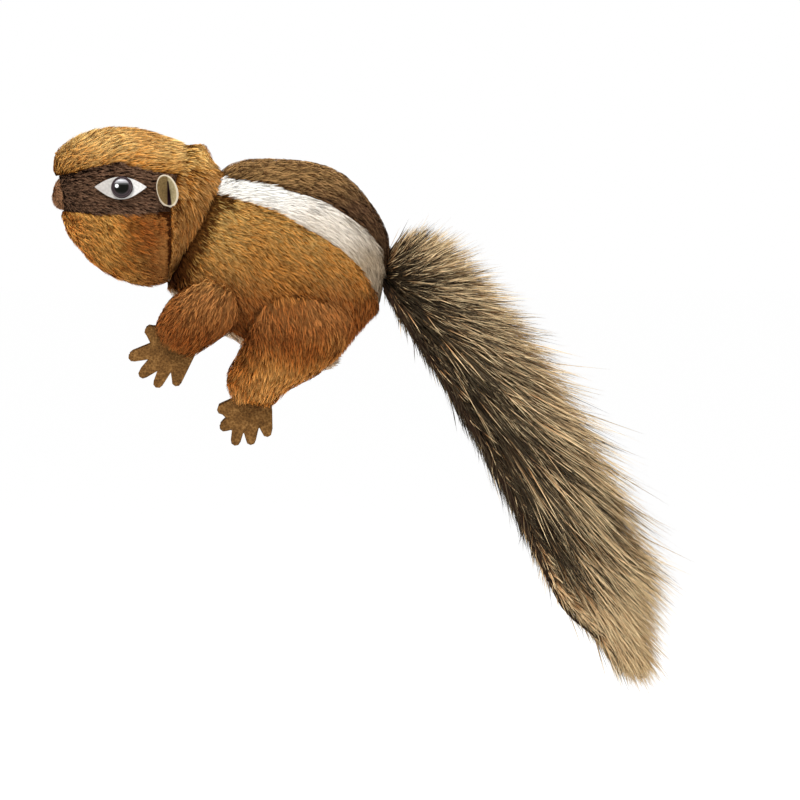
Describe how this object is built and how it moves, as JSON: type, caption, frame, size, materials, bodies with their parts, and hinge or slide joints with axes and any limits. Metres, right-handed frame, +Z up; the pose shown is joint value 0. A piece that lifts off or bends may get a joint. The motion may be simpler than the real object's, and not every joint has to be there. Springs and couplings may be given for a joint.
{
  "type": "finger puppet",
  "caption": "Plush chipmunk finger puppet with striped back, suede paws, long bushy tail and a closed finger sleeve under the rump",
  "frame": {"origin": "middle of the round mouth of the finger sleeve, under the rump", "axes": "+X towards the tail with the nose at -X, +Z up, +Y towards the puppet's right side; the puppet is symmetric about Y = 0"},
  "size_m": [0.1815, 0.0522, 0.1607],
  "materials": {
    "golden_plush": "directional short-pile plush",
    "cheek_plush": "directional short-pile plush, a shade darker",
    "dark_plush": "dark brown short-pile plush",
    "back_plush": "brown plush brushed backwards",
    "white_plush": "white short-pile plush",
    "cream_plush": "cream short-pile plush",
    "ear_lining": "cream suede cloth",
    "nose_plush": "brown shaved plush",
    "eye_white": "white felt with a dark edge",
    "eye": "domed, clear over a dark iris",
    "eye_washer": "plain moulded",
    "suede": "brown suede cloth",
    "stuffing": "polyester fibre",
    "lining": "brown tricot",
    "tail_pile": "long pile with dark roots and pale tips",
    "tail_cloth": "dark knitted backing"
  },
  "bodies": {
    "root": {"crown": "golden_plush", "head_back": "golden_plush", "flank_left": "golden_plush", "flank_right": "golden_plush", "front_leg_left": "golden_plush", "front_leg_right": "golden_plush", "hind_leg_left": "golden_plush", "hind_leg_right": "golden_plush", "cheek_left": "cheek_plush", "cheek_right": "cheek_plush", "ear_back_left": "cheek_plush", "ear_back_right": "cheek_plush", "eye_stripe_left": "dark_plush", "eye_stripe_right": "dark_plush", "back_stripe": "back_plush", "white_stripe_left": "white_plush", "white_stripe_right": "white_plush", "belly": "cream_plush", "ear_lining_left": "ear_lining", "ear_lining_right": "ear_lining", "nose": "nose_plush", "eye_white_left": "eye_white", "eye_white_right": "eye_white", "eye_left": "eye", "eye_right": "eye", "eye_washer_left": "eye_washer", "eye_washer_right": "eye_washer", "front_paw_left": "suede", "front_paw_right": "suede", "hind_paw_left": "suede", "hind_paw_right": "suede", "head_stuffing": "stuffing", "body_stuffing": "stuffing", "finger_sleeve": "lining", "tail_pile": "tail_pile", "tail_backing": "tail_cloth"}
  },
  "joints": []
}
